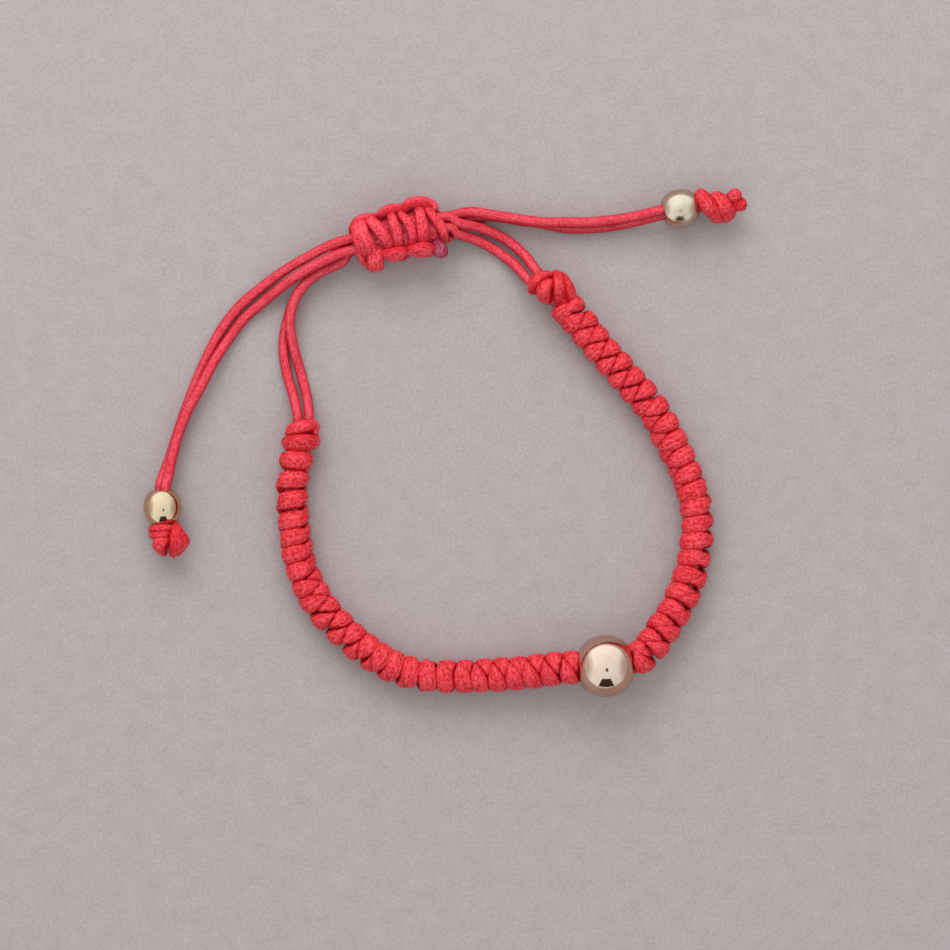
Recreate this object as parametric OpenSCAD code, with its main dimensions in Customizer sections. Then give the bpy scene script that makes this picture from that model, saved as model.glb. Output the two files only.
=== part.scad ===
// Macrame bracelet: two runs of snake knots joined by a round bead, drawn together by a
// sliding band of square knots. It lies flat, with the wrist opening facing up.
// All sizes are in millimetres. X runs towards the straight pull end, and Y from the main bead
// towards the sliding knot.

/* [Cord] */
// Diameter of the waxed cord that the whole bracelet is tied from
cord_d = 1.3; // [1.1:0.05:1.3]
// Sides of a bare strand's tube
strand_sides = 8; // [6:1:8]

/* [Knotted runs] */
// Radius of a knotted run over its fat coils
run_r = 2.35; // [2.2:0.05:2.35]
// How much thinner a run is across its crossings than over its coils
run_waist = 0.3; // [0.1:0.05:0.4]
// Snake knots in the left run
left_knots = 24; // [20:1:26]
// Snake knots in the right run
right_knots = 23; // [19:1:25]
// Turn of the pattern about the run from one knot to the next, in degrees
left_turn = 12; // [0:1:15]
// The same turn in the right run, in degrees
right_turn = 10; // [0:1:15]
// Rings of points along one snake knot
knot_rings = 6; // [4:1:6]
// Points round a run
run_sides = 16; // [12:2:16]

/* [Beads] */
// Diameter of the main bead
main_bead_d = 8; // [7.8:0.1:8]
// Length of the main bead along its hole
main_bead_len = 6.8; // [6.2:0.1:6.8]
// Diameter of the main bead's hole
main_hole_d = 3; // [2.9:0.05:3.2]
// Diameter of the two beads on the pull ends
end_bead_d = 5; // [4.9:0.05:5]
// Length of an end bead along its hole
end_bead_len = 4.3; // [4:0.1:4.4]
// Diameter of an end bead's hole
end_hole_d = 2.9; // [2.85:0.05:3.1]

/* [Sliding knot] */
// Length of the sliding band of square knots
slide_len = 12.2; // [11.8:0.1:12.2]
// Width of the sliding band, across its side loops
slide_w = 7.1; // [6.6:0.1:7.2]
// Thickness of the sliding band
slide_t = 5.6; // [5.2:0.1:5.6]
// Square knots in the sliding band
slide_knots = 3; // [2:1:4]
// Half the width of the channel that the four strands slide in
slide_channel = 1.55; // [1.5:0.01:1.6]

/* [Hidden] */

coral = [0.86, 0.20, 0.26];
coral_dark = [0.72, 0.13, 0.19];
champagne = [0.83, 0.70, 0.52];

// Middle line of the left run, from its first knot to the main bead.
// Columns: x, y, and how far it is lifted above where it would rest on the surface.
left_run = [
    [-25.0,  -0.9, 0.0], [-25.9,  -5.0, 0.0], [-25.7,  -9.5, 0.0], [-25.1, -14.0, 0.0],
    [-23.7, -18.0, 0.0], [-21.4, -21.5, 0.0], [-18.2, -24.7, 0.0], [-14.8, -27.2, 0.0],
    [-10.7, -29.0, 0.0], [ -6.3, -29.5, 0.0], [ -1.8, -29.4, 0.0], [  2.6, -29.1, 0.2],
    [  6.8, -28.6, 0.9], [  9.4, -28.3, 1.4], [ 10.7, -28.2, 1.5]];

// Middle line of the right run, from the main bead to its last knot, in the same columns
right_run = [
    [18.2, -27.3, 1.5], [19.0, -26.9, 1.4], [20.1, -25.7, 1.1], [21.5, -23.6, 0.6],
    [23.3, -20.8, 0.2], [24.9, -17.2, 0.0], [25.9, -12.6, 0.0], [25.9,  -8.0, 0.0],
    [24.7,  -3.6, 0.0], [22.7,   0.6, 0.0], [20.5,   4.6, 0.0], [17.4,   8.3, 0.0],
    [14.3,  11.8, 0.0], [11.6,  15.1, 0.0], [10.6,  16.4, 0.1], [ 9.5,  17.6, 0.2]];

// The four bare strands, each from the end of its run, through the sliding knot and an end
// bead, to the knot beyond it. Each row is a point of the middle line.
strand_left_a_route = [
    [-25.2,  4.0, 2.2], [-25.8,  6.6, 1.2], [-26.7,  9.6, 0.7], [-27.1, 13.0, 0.7],
    [-26.6, 16.2, 0.7], [-25.4, 19.4, 0.7], [-23.2, 22.3, 0.8], [-20.4, 24.8, 1.6],
    [-18.3, 26.6, 2.1], [-12.4, 28.0, 2.1], [ -6.4, 29.4, 2.1], [ -3.1, 30.1, 2.2],
    [  0.0, 29.7, 2.1], [  3.1, 29.2, 2.1], [  6.2, 28.8, 2.1], [  9.3, 28.8, 2.0],
    [ 12.3, 28.8, 2.0], [ 15.4, 29.1, 2.1], [ 18.5, 29.6, 2.5], [ 21.4, 30.3, 3.1],
    [ 26.1, 31.3, 3.1]];
strand_left_b_route = [
    [-23.7,  3.7, 2.3], [-24.1,  6.6, 1.2], [-24.9,  9.6, 0.7], [-25.8, 13.0, 1.3],
    [-26.2, 16.2, 2.1], [-25.3, 19.4, 2.2], [-22.9, 22.0, 2.2], [-19.6, 23.6, 2.3],
    [-18.0, 25.2, 2.1], [-12.1, 26.6, 2.1], [ -6.1, 28.0, 2.1], [ -4.7, 28.4, 1.4],
    [ -3.2, 29.3, 0.8], [  0.0, 29.6, 0.7], [  3.1, 29.1, 0.7], [  6.2, 28.7, 0.7],
    [  9.3, 28.1, 0.7], [ 12.3, 28.1, 0.7], [ 15.4, 28.4, 0.8], [ 18.5, 29.0, 1.2],
    [ 21.6, 29.7, 1.8], [ 26.3, 30.7, 1.8]];
strand_right_a_route = [
    [  5.3, 22.7, 2.4], [  3.9, 24.6, 1.4], [  1.6, 26.6, 0.8], [ -1.5, 28.0, 1.6],
    [ -4.5, 28.6, 3.2], [ -6.4, 29.4, 3.5], [-12.4, 28.0, 3.5], [-18.3, 26.6, 3.5],
    [-20.8, 25.8, 3.6], [-23.8, 24.3, 3.0], [-26.9, 22.6, 1.6], [-30.0, 20.4, 0.8],
    [-32.8, 18.0, 0.7], [-35.1, 15.0, 0.7], [-36.8, 11.8, 0.7], [-38.3,  8.4, 0.7],
    [-39.6,  5.0, 0.7], [-40.7,  1.8, 0.7], [-41.7, -1.4, 0.8], [-42.6, -4.0, 1.4],
    [-42.9, -5.4, 1.9], [-42.9, -10.1, 1.9]];
strand_right_b_route = [
    [  4.2, 21.6, 2.2], [  2.7, 23.3, 1.3], [  0.3, 25.2, 0.7], [ -2.4, 26.6, 1.3],
    [ -4.6, 27.2, 2.8], [ -6.1, 28.0, 3.5], [-12.1, 26.6, 3.5], [-18.0, 25.2, 3.5],
    [-20.6, 24.3, 3.7], [-23.8, 22.7, 3.3], [-26.7, 20.9, 2.1], [-29.8, 18.5, 0.9],
    [-32.2, 16.4, 0.8], [-34.0, 14.0, 0.9], [-35.8, 11.2, 1.7], [-37.5,  7.9, 2.0],
    [-39.3,  4.6, 2.1], [-40.5,  1.6, 2.1], [-41.3, -1.4, 2.1], [-41.8, -4.0, 2.6],
    [-42.1, -5.4, 3.1], [-42.1, -10.1, 3.1]];

// Where the beads sit, and the turn of each bead's hole from the X axis
main_bead_at = [14.25, -28.05, main_bead_d / 2];
main_bead_turn = 3;
main_face_d = 4.2;
end_bead_right_at = [23.85, 30.5, 2.5];
end_bead_right_turn = 12;
end_bead_left_at = [-42.5, -7.8, 2.5];
end_bead_left_turn = -90;
end_face_d = 3.1;
crown_steps = 12;
strand_gap = 0.1;
thread_spread = (cord_d + strand_gap) / 2;
bead_face_gap = 0.15;

// The four small knots. Columns: both ends of the middle line, half the width, half the height,
// the number of wraps, and how far a wrap slants along the knot.
start_left = [[-24.9, -0.5, 2.3], [-24.3, 3.5, 2.3], 2.3, 2.3, 2, 0.5];
start_right = [[9.1, 18.0, 2.65], [4.9, 21.8, 2.65], 2.6, 2.65, 2, 0.9];
end_left = [[-41.9, -10.6, 2.3], [-41.4, -14.0, 2.3], 2.9, 2.25, 2, 0.8];
end_right = [[26.5, 31.0, 2.5], [32.4, 31.9, 2.5], 2.4, 2.45, 3, 1];
wrap_groove = 0.2;
small_knot_sides = 16;

// Outline of each small knot. Columns: how far along it, and its share of the full radius.
plain_outline = [[0, 0.72], [0.1, 0.93], [0.25, 1], [0.75, 1], [0.9, 0.93], [1, 0.72]];
nub_outline = [[0, 0.55], [0.1, 0.88], [0.25, 1], [0.5, 0.98], [0.65, 0.75], [0.8, 0.5], [1, 0.42]];

// Place and turn of the sliding knot
slide_at = [-12.2, 27.3, slide_t / 2];
slide_turn = 13;
slide_sides = 20;
slide_bars = 2 * slide_knots;
bar_rings = 4;
bar_slant = 0.35;
bar_groove = 0.55;
loop_groove = 0.8;
loop_shift = 0.35;
slide_end_drop = 0.5;
slide_squareness = 2.6;
channel_squareness = 4;

// Turn of the pattern about each run at its first knot
left_first_turn = 122;
right_first_turn = 42;

// A snake knot's coil: the angle where it starts, how far it goes round, where it is fattest,
// how far it stays so, and where it has narrowed, sunk and tucked in. All are in degrees.
coil_from = -30;
coil_sweep = 330;
coil_fat_at = 135;
coil_fat_to = 20;
coil_narrow_over = 120;
coil_sink_over = 90;
coil_tuck = 40;
// Half the width of a coil as a share of a knot's length, what it narrows by, and its thickness
coil_half = 0.5;
coil_narrow = 0.17;
coil_t = 0.95;
core_r = 1.45;
curve_steps = 8;

// Vector of length 1 along v
function unit(v) = v / norm(v);

// Round ridge: 1 on its crest, and 0 from a distance of 1 outwards
function ridge(x) = sqrt(max(0, 1 - x * x));

// Smooth rise from 0 to 1 as x goes from 0 to 1
function rise(x) = let (c = min(1, max(0, x))) c * c * (3 - 2 * c);

// Point a share t of the way from b to c on a curve through a, b, c and d
function bend(a, b, c, d, t) =
    0.5 * (2 * b + (c - a) * t + (2 * a - 5 * b + 4 * c - d) * t * t
           + (3 * b - a - 3 * c + d) * t * t * t);

// Smooth line through every point of a route
function curve(route) =
    let (last = len(route) - 1)
    [for (i = [0:last - 1], j = [0:curve_steps - 1])
        bend(route[max(0, i - 1)], route[i], route[i + 1], route[min(last, i + 2)], j / curve_steps),
     route[last]];

// Distance travelled along a line up to each of its points
function travelled(line) =
    [for (i = 0, s = 0; i < len(line); i = i + 1,
          s = s + (i < len(line) ? norm(line[i] - line[i - 1]) : 0)) s];

// Point at distance s along a line whose travelled distances are marks
function along(line, marks, s) =
    [for (k = [0:2]) lookup(s, [for (i = [0:len(line) - 1]) [marks[i], line[i][k]]])];

// The travel direction, the left-hand side and the upper side at distance s along a line
function frame_at(line, marks, s) =
    let (reach = 0.4, ahead = along(line, marks, s + reach), behind = along(line, marks, s - reach),
         go = unit(ahead - behind), left = unit(cross([0, 0, 1], go)))
    [go, left, cross(go, left)];

// Reach of a box with round corners, in a direction with these shares of its half sizes
function round_box(share_up, share_across, squareness) =
    1 / pow(pow(share_up, squareness) + pow(share_across, squareness), 1 / squareness);

// Point at radius r and angle a from the upper side towards the left-hand side
function round_point(centre, frame, r, a) = centre + r * (cos(a) * frame[2] + sin(a) * frame[1]);

// Faces of a skin over rows of points with so many points each, from row to row and round
function skin_faces(rows, sides) =
    [for (i = [0:rows - 2], j = [0:sides - 1])
        let (k = (j + 1) % sides, a = i * sides, b = a + sides)
        each [[a + j, b + k, b + j], [a + j, a + k, b + k]]];

// Solid skinned over rings of points, with a fan of faces over each end
module skinned(rings, first_end, last_end) {
    rows = len(rings);
    sides = len(rings[0]);
    first = rows * sides;
    cap = [for (j = [0:sides - 1]) let (k = (j + 1) % sides) each
              [[first, k, j], [first + 1, (rows - 1) * sides + j, (rows - 1) * sides + k]]];
    polyhedron(points = concat([for (ring = rings) each ring], [first_end, last_end]),
               faces = concat(skin_faces(rows, sides), cap));
}

// Solid skinned over rings of points that come back to the first ring, such as a sleeve
module looped(rings) {
    rows = len(rings);
    sides = len(rings[0]);
    points = [for (ring = rings) each ring];
    count = rows * sides;
    faces = [for (face = skin_faces(rows + 1, sides)) [for (v = face) v % count]];
    polyhedron(points = points, faces = faces);
}

// Bare strand: a plain tube with a ring at each point of its route
module strand(route) {
    marks = travelled(route);
    rings = [for (i = [0:len(route) - 1])
                let (frame = frame_at(route, marks, marks[i]))
                [for (j = [0:strand_sides - 1])
                    round_point(route[i], frame, cord_d / 2, (j + 0.5) * 360 / strand_sides)]];
    skinned(rings, route[0], route[len(route) - 1]);
}

// Radius of a run at a share x of a knot along it and at angle a in the pattern's own turn.
// Two coils, half a turn apart, go round at each knot. Each starts high, ends low, is fattest
// half way and tucks in at both ends.
function run_radius(x, a) =
    max(core_r, max([for (half = [0, 180], k = [floor(x) - 1:floor(x) + 2])
        let (turned = (a - half - coil_from + 720) % 360,
             u = turned / coil_sweep,
             off_fat = abs(turned + coil_from - coil_fat_at),
             wide = coil_half - coil_narrow * rise((off_fat - coil_fat_to) / coil_narrow_over),
             high = run_r - run_waist * rise((off_fat - coil_fat_to) / coil_sink_over),
             tuck = rise(turned / coil_tuck) * rise((coil_sweep - turned) / coil_tuck),
             crest = core_r + (high - core_r) * tuck)
        turned > coil_sweep ? core_r
            : crest - coil_t * (1 - ridge((x - k - coil_half + u) / wide))]));

// Knotted run along a route, with a turn of its pattern at the first knot and at each next one
module knotted_run(route, knots, first_turn, turn) {
    line = curve([for (p = route) [p[0], p[1], run_r + p[2]]]);
    marks = travelled(line);
    total = marks[len(marks) - 1];
    rings = [for (i = [0:knots * knot_rings])
                let (x = i / knot_rings, s = total * x / knots,
                     frame = frame_at(line, marks, s), centre = along(line, marks, s))
                [for (j = [0:run_sides - 1])
                    let (a = j * 360 / run_sides)
                    round_point(centre, frame, run_radius(x + coil_half, a + first_turn + turn * x), a)]];
    skinned(rings, line[0], line[len(line) - 1]);
}

// Small tight knot, from its row of sizes and its outline
module tight_knot(knot, outline) {
    from = knot[0];
    to = knot[1];
    wide = knot[2];
    high = knot[3];
    wraps = knot[4];
    slant = knot[5];
    ring_count = 4 * wraps + 4;
    go = unit(to - from);
    left = unit(cross([0, 0, 1], go));
    up = cross(go, left);
    total = norm(to - from);
    rings = [for (i = [0:ring_count])
                let (f = i / ring_count, share = lookup(f, outline))
                [for (j = [0:small_knot_sides - 1])
                    let (a = j * 360 / small_knot_sides,
                         x = (f * total + slant * sin(a)) * wraps / total,
                         dip = wrap_groove * (1 - ridge(2 * (x - floor(x)) - 1)))
                    from + go * f * total
                        + (share - dip) * (high * cos(a) * up + wide * sin(a) * left)]];
    skinned(rings, from, to);
}

// Bead round the X axis: a barrel whose crown and end faces both fit the stated sizes
module bead(d, length, face_d, hole_d) {
    crown_h = (d - face_d) / 2;
    crown_r = (pow(length / 2, 2) + pow(crown_h, 2)) / (2 * crown_h);
    crown_end = asin(length / 2 / crown_r);
    crown = [for (i = [0:crown_steps])
                let (a = crown_end * (2 * i / crown_steps - 1))
                [d / 2 - crown_r * (1 - cos(a)), crown_r * sin(a)]];
    rotate([0, 90, 0])
        rotate_extrude($fn = 96)
            polygon(concat([[hole_d / 2, -length / 2]], crown, [[hole_d / 2, length / 2]]));
}

module braid_left() {
    color(coral) knotted_run(left_run, left_knots, left_first_turn, left_turn);
}

module braid_right() {
    color(coral) knotted_run(right_run, right_knots, right_first_turn, right_turn);
}

module start_knot_left() {
    color(coral_dark) tight_knot(start_left, plain_outline);
}

module start_knot_right() {
    color(coral_dark) tight_knot(start_right, plain_outline);
}

module main_bead() {
    color(champagne)
        translate(main_bead_at) rotate(main_bead_turn)
            bead(main_bead_d, main_bead_len, main_face_d, main_hole_d);
}

// Two strands side by side through the main bead, from run to run
module bead_thread() {
    color(coral_dark)
        translate(main_bead_at) rotate(main_bead_turn)
            for (side = [-1, 1])
                translate([0, side * thread_spread, 0]) rotate([0, 90, 0])
                    cylinder(d = cord_d, h = main_bead_len + bead_face_gap, center = true, $fn = 32);
}

// Sleeve of square knots: slanting bars across the front and back, and a loop at each side of
// every knot, round a channel for the four strands
module slide_knot() {
    bar_pitch = slide_len / slide_bars;
    ring_count = slide_bars * bar_rings;
    outer = [for (i = [0:ring_count])
                let (s = i * slide_len / ring_count, end = min(i, ring_count - i) / bar_rings)
                [for (j = [0:slide_sides - 1])
                    let (a = j * 360 / slide_sides,
                         face = abs(cos(a)), side = abs(sin(a)),
                         r = round_box(face / (slide_t / 2), side / (slide_w / 2), slide_squareness),
                         bar_x = s / bar_pitch + bar_slant * sin(a) * sign(cos(a)),
                         bar = bar_groove * (1 - ridge(2 * (bar_x - floor(bar_x)) - 1)),
                         loop_x = s / bar_pitch / 2 + (sin(a) > 0 ? 0 : loop_shift),
                         loop = loop_groove * (1 - ridge(2 * (loop_x - floor(loop_x)) - 1)),
                         drop = rise(1 - end) * slide_end_drop)
                    [s - slide_len / 2, sin(a) * (r - side * loop - face * bar - drop),
                     cos(a) * (r - side * loop - face * bar - drop)]]];
    inner = [for (x = [slide_len / 2, -slide_len / 2])
                [for (j = [0:slide_sides - 1])
                    let (a = j * 360 / slide_sides,
                         r = slide_channel * round_box(abs(cos(a)), abs(sin(a)), channel_squareness))
                    [x, sin(a) * r, cos(a) * r]]];
    color(coral)
        translate(slide_at) rotate(slide_turn)
            looped(concat(outer, inner));
}

module end_bead(at, turn) {
    color(champagne)
        translate(at) rotate(turn) bead(end_bead_d, end_bead_len, end_face_d, end_hole_d);
}

module strand_left_a() { color(coral) strand(strand_left_a_route); }
module strand_left_b() { color(coral) strand(strand_left_b_route); }
module strand_right_a() { color(coral) strand(strand_right_a_route); }
module strand_right_b() { color(coral) strand(strand_right_b_route); }
module end_bead_left() { end_bead(end_bead_left_at, end_bead_left_turn); }
module end_bead_right() { end_bead(end_bead_right_at, end_bead_right_turn); }

module end_knot_left() {
    color(coral_dark) tight_knot(end_left, plain_outline);
}

module end_knot_right() {
    color(coral_dark) tight_knot(end_right, nub_outline);
}

braid_left();
braid_right();
start_knot_left();
start_knot_right();
main_bead();
bead_thread();
slide_knot();
strand_left_a();
strand_left_b();
strand_right_a();
strand_right_b();
end_bead_left();
end_bead_right();
end_knot_left();
end_knot_right();
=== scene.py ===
# %% [markdown]
# This bracelet is tied from one kind of cord: a thin, waxed, braided cord in coral red. Two
# runs of snake knots hold a polished bead between them, and a band of square knots slides on
# the four bare ends and draws the loop close. Everything is laid flat on pale paper and seen
# from straight above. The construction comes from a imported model, which is loaded first and
# gives every piece its place, so each new piece only has to be drawn where its solid lies.

# %% Load the construction
import math

import bpy
import numpy as np
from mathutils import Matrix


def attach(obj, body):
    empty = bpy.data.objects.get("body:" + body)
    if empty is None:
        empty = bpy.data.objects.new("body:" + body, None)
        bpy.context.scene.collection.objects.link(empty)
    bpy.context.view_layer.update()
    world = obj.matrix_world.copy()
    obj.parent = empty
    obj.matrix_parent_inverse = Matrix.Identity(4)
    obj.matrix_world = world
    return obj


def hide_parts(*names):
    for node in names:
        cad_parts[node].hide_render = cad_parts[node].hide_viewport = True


MM = 0.001
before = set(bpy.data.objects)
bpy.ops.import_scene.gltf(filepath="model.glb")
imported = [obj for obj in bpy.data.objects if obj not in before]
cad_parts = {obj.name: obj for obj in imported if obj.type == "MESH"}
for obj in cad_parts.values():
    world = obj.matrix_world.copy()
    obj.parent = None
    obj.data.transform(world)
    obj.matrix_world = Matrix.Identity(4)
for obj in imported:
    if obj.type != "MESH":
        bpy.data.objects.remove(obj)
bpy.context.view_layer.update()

# %% [markdown]
# The camera looks straight down from half a metre, as a product photographer's does. A square
# picture of 950 pixels has 7.8 pixels in each millimetre, so the lens follows from the height:
# what the sensor sees at that distance, at the height of the cord, has to be as wide as the
# picture. A camera that isn't turned at all looks along -Z with +Y up, which is just this view.

# %% Camera
PHOTO_SIDE = 950
PX_PER_MM = 7.8
VIEW_X, VIEW_Y = -2.44, -3.65
CAMERA_HEIGHT = 500
CORD_HEIGHT = 2.5
SENSOR = 36
view_width = PHOTO_SIDE / PX_PER_MM


def put_in_scene(name, data):
    """A new object with its data, linked to the scene."""
    thing = bpy.data.objects.new(name, data)
    bpy.context.scene.collection.objects.link(thing)
    return thing


camera_data = bpy.data.cameras.new("camera")
camera_data.sensor_width = SENSOR
camera_data.lens = SENSOR * (CAMERA_HEIGHT - CORD_HEIGHT) / view_width
camera_data.clip_start = 10 * MM
camera = put_in_scene("camera", camera_data)
camera.location = (VIEW_X * MM, VIEW_Y * MM, CAMERA_HEIGHT * MM)
bpy.context.scene.camera = camera
print("lens", round(camera_data.lens, 1), "mm for a view", round(view_width, 1), "mm wide")

# %% [markdown]
# Every cord is a tube carried along a line. The line is a smooth curve through a few points,
# and each point on it needs to know which way the cord travels and which way its flat side
# faces. These helpers work on whole arrays, so a run with thousands of rings takes no loop.

# %% Lines and directions
def smooth_line(rows, steps):
    """Smooth curve through every row of numbers, with so many steps from one to the next.

    Between rows b and c, with a before and d after them, a share t of the way is half of
    2b + (c - a)t + (2a - 5b + 4c - d)t^2 + (3b - a - 3c + d)t^3.
    """
    rows = np.asarray(rows, float)
    padded = np.concatenate([rows[:1], rows, rows[-1:]])
    a, b, c, d = (padded[i:len(rows) - 1 + i, None, :] for i in range(4))
    t = (np.arange(steps) / steps)[None, :, None]
    spans = 0.5 * (2 * b + (c - a) * t + (2 * a - 5 * b + 4 * c - d) * t ** 2
                   + (3 * b - a - 3 * c + d) * t ** 3)
    return np.concatenate([spans.reshape(-1, rows.shape[1]), rows[-1:]])


def unit(vectors):
    """Each row divided by its own length."""
    return vectors / np.linalg.norm(vectors, axis=-1, keepdims=True)


def travelled(line):
    """Distance along a line up to each of its points: the running sum of its steps."""
    return np.concatenate([[0], np.cumsum(np.linalg.norm(np.diff(line, axis=0), axis=1))])


def read_at(places, marks, rows):
    """The rows' numbers at places between their marks: straight lines from row to row."""
    return np.stack([np.interp(places, marks, column) for column in rows.T], -1)


def level_frame(line):
    """Travel direction, left-hand side and upper side at each point of a line.

    Travel is the difference of a point's neighbours, left is straight up x travel, and the
    upper side is travel x left. All are scaled to length 1.
    """
    go = unit(np.gradient(line, axis=0))
    left = unit(np.cross([0, 0, 1], go))
    return go, left, np.cross(go, left)


def rise(x):
    """Smooth step from 0 to 1 as x goes from 0 to 1: 3x^2 - 2x^3."""
    x = np.clip(x, 0, 1)
    return x * x * (3 - 2 * x)


# %% [markdown]
# A mesh is filled from arrays with foreach_set, which is far quicker than adding faces one at
# a time. The tube keeps a UV map: U is the distance along the cord in millimetres, and V goes
# once round it. The braid of the cord is drawn on that map later, so it follows every bend.

# %% Tubes
LOBE_SIDES = 18


def tube(line, outward, half_wide, half_thick, squareness=2, sides=LOBE_SIDES, start_u=0.0):
    """Points, quads and UVs of a closed tube along a line.

    At angle b its section reaches half_wide * cos(b) across and half_thick * sin(b) outward,
    with cos and sin raised to the power 2 / squareness, so 2 is an ellipse and more is a rounded
    box. Across is outward x travel, which makes the faces point out. The distance along the cord
    starts at start_u, so that lobes side by side don't show the same stretch of braid.
    """
    count = len(line)
    go = unit(np.gradient(line, axis=0))
    outward = unit(outward - go * np.sum(outward * go, axis=1, keepdims=True))
    across = np.cross(outward, go)
    b = 2 * np.pi * np.arange(sides) / sides
    cos_b = np.sign(np.cos(b)) * np.abs(np.cos(b)) ** (2 / squareness)
    sin_b = np.sign(np.sin(b)) * np.abs(np.sin(b)) ** (2 / squareness)
    wide = np.broadcast_to(half_wide, count)[:, None, None]
    thick = np.broadcast_to(half_thick, count)[:, None, None]
    points = (line[:, None] + wide * cos_b[None, :, None] * across[:, None]
              + thick * sin_b[None, :, None] * outward[:, None])
    i, j = np.meshgrid(np.arange(count - 1), np.arange(sides), indexing="ij")
    k = (j + 1) % sides
    quads = np.stack([i * sides + j, i * sides + k, (i + 1) * sides + k, (i + 1) * sides + j], -1)
    u = start_u + travelled(line)
    uv = np.stack([np.stack([u[i], u[i], u[i + 1], u[i + 1]], -1),
                   np.stack([j, j + 1, j + 1, j], -1) / sides], -1)
    caps = [np.arange(sides)[::-1], (count - 1) * sides + np.arange(sides)]
    cap_uv = [np.stack([np.full(sides, u[row]), cap % sides / sides], -1)
              for row, cap in zip((0, -1), caps)]
    return points.reshape(-1, 3), quads.reshape(-1, 4), uv.reshape(-1, 2), caps, cap_uv


# %% Cord pieces
LOBE_SQUARENESS = 2.3
LOBE_STEPS = 8


def cord_piece(name, tubes, material):
    """One object in metres from several tubes in millimetres, with a UV map, that rides on root."""
    points, loops, starts, uvs = [], [], [], []
    vertex_count = loop_count = 0
    for tube_points, quads, uv, caps, cap_uv in tubes:
        points.append(tube_points)
        loops += [quads.ravel() + vertex_count, *(cap + vertex_count for cap in caps)]
        uvs += [uv, *cap_uv]
        starts.append(loop_count + 4 * np.arange(len(quads)))
        loop_count += quads.size
        for cap in caps:
            starts.append(np.array([loop_count]))
            loop_count += len(cap)
        vertex_count += len(tube_points)
    points, loops, starts = np.concatenate(points), np.concatenate(loops), np.concatenate(starts)
    mesh = bpy.data.meshes.new(name)
    mesh.vertices.add(vertex_count)
    mesh.vertices.foreach_set("co", (points * MM).ravel())
    mesh.loops.add(loop_count)
    mesh.loops.foreach_set("vertex_index", loops.astype(np.int32))
    mesh.polygons.add(len(starts))
    mesh.polygons.foreach_set("loop_start", starts.astype(np.int32))
    mesh.uv_layers.new(name="cord").data.foreach_set("uv", np.concatenate(uvs).ravel())
    mesh.update(calc_edges=True)
    mesh.validate()
    mesh.shade_smooth()
    mesh.materials.append(material)
    piece = put_in_scene(name, mesh)
    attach(piece, "root")
    print(name, "has", len(starts), "faces")
    return piece


def lobe(rows, centre, start_u=0.0):
    """A tube through rows of x, y, z, half width and half thickness.

    Its flat side faces away from the centre: outward is the point minus the centre.
    """
    rows = smooth_line(rows, LOBE_STEPS)
    return tube(rows[:, :3], rows[:, :3] - centre, rows[:, 3], rows[:, 4], LOBE_SQUARENESS,
                start_u=start_u)


# %% [markdown]
# The materials are built from nodes. Each link could be written out, but a small class is
# easier to read: every method adds one node, gives it its inputs and returns its output, so a
# formula reads from the inside out. A look that several materials share becomes a node group.

# %% Node helpers
class Nodes:
    """Shorthand for adding and linking nodes in one tree."""

    def __init__(self, tree):
        self.tree = tree

    def add(self, kind, **settings):
        """A node of a kind, with its settings."""
        node = self.tree.nodes.new(kind)
        for key, value in settings.items():
            setattr(node, key, value)
        return node

    def put(self, value, socket):
        """A number, a colour or another socket, as a socket's value."""
        if isinstance(value, bpy.types.NodeSocket):
            self.tree.links.new(value, socket)
        else:
            socket.default_value = value

    def math(self, operation, *values):
        """A Math node's result."""
        node = self.add("ShaderNodeMath", operation=operation)
        for value, socket in zip(values, node.inputs):
            self.put(value, socket)
        return node.outputs[0]

    def mix(self, share, first, second):
        """A colour mix's result. Its share is input 0 and its two colours are inputs 6 and 7."""
        node = self.add("ShaderNodeMix", data_type="RGBA")
        for value, index in zip((share, first, second), (0, 6, 7)):
            self.put(value, node.inputs[index])
        return node.outputs[2]

    def noise(self, vector, scale, detail=2.0, roughness=0.5):
        """A Noise node's value."""
        node = self.add("ShaderNodeTexNoise")
        for name, value in (("Vector", vector), ("Scale", scale), ("Detail", detail),
                            ("Roughness", roughness)):
            self.put(value, node.inputs[name])
        return node.outputs[0]

    def scaled(self, vector, along, around):
        """A UV map stretched along the cord and round it, by a Mapping node."""
        node = self.add("ShaderNodeMapping")
        self.put(vector, node.inputs["Vector"])
        node.inputs["Scale"].default_value = (along, around, 1.0)
        return node.outputs[0]

    def split(self, vector):
        """The three parts of a vector."""
        node = self.add("ShaderNodeSeparateXYZ")
        self.put(vector, node.inputs[0])
        return node.outputs[:3]

    def bump(self, height):
        """The normal of a surface with a relief whose height is in metres."""
        node = self.add("ShaderNodeBump")
        node.inputs["Distance"].default_value = 1.0
        self.put(height, node.inputs["Height"])
        return node.outputs[0]

    def span(self, value, low, high, to_low=0.0, to_high=1.0):
        """A value moved from one range to another, and clamped."""
        node = self.add("ShaderNodeMapRange")
        for number, socket in zip((value, low, high, to_low, to_high), node.inputs):
            self.put(number, socket)
        return node.outputs[0]


def group_tree(name, inputs, outputs):
    """An empty node group, its input node and its output node. The outputs are numbers."""
    tree = bpy.data.node_groups.new(name, "ShaderNodeTree")
    for label, kind, default in inputs:
        socket = tree.interface.new_socket(label, in_out="INPUT", socket_type=kind)
        if default is not None:
            socket.default_value = default
    for label in outputs:
        tree.interface.new_socket(label, in_out="OUTPUT", socket_type="NodeSocketFloat")
    return tree, tree.nodes.new("NodeGroupInput"), tree.nodes.new("NodeGroupOutput")


def new_material(name):
    """A material, its Principled shader and the helper for its nodes."""
    material = bpy.data.materials.new(name)
    material.use_nodes = True
    return material, material.node_tree.nodes["Principled BSDF"], Nodes(material.node_tree)


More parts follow.
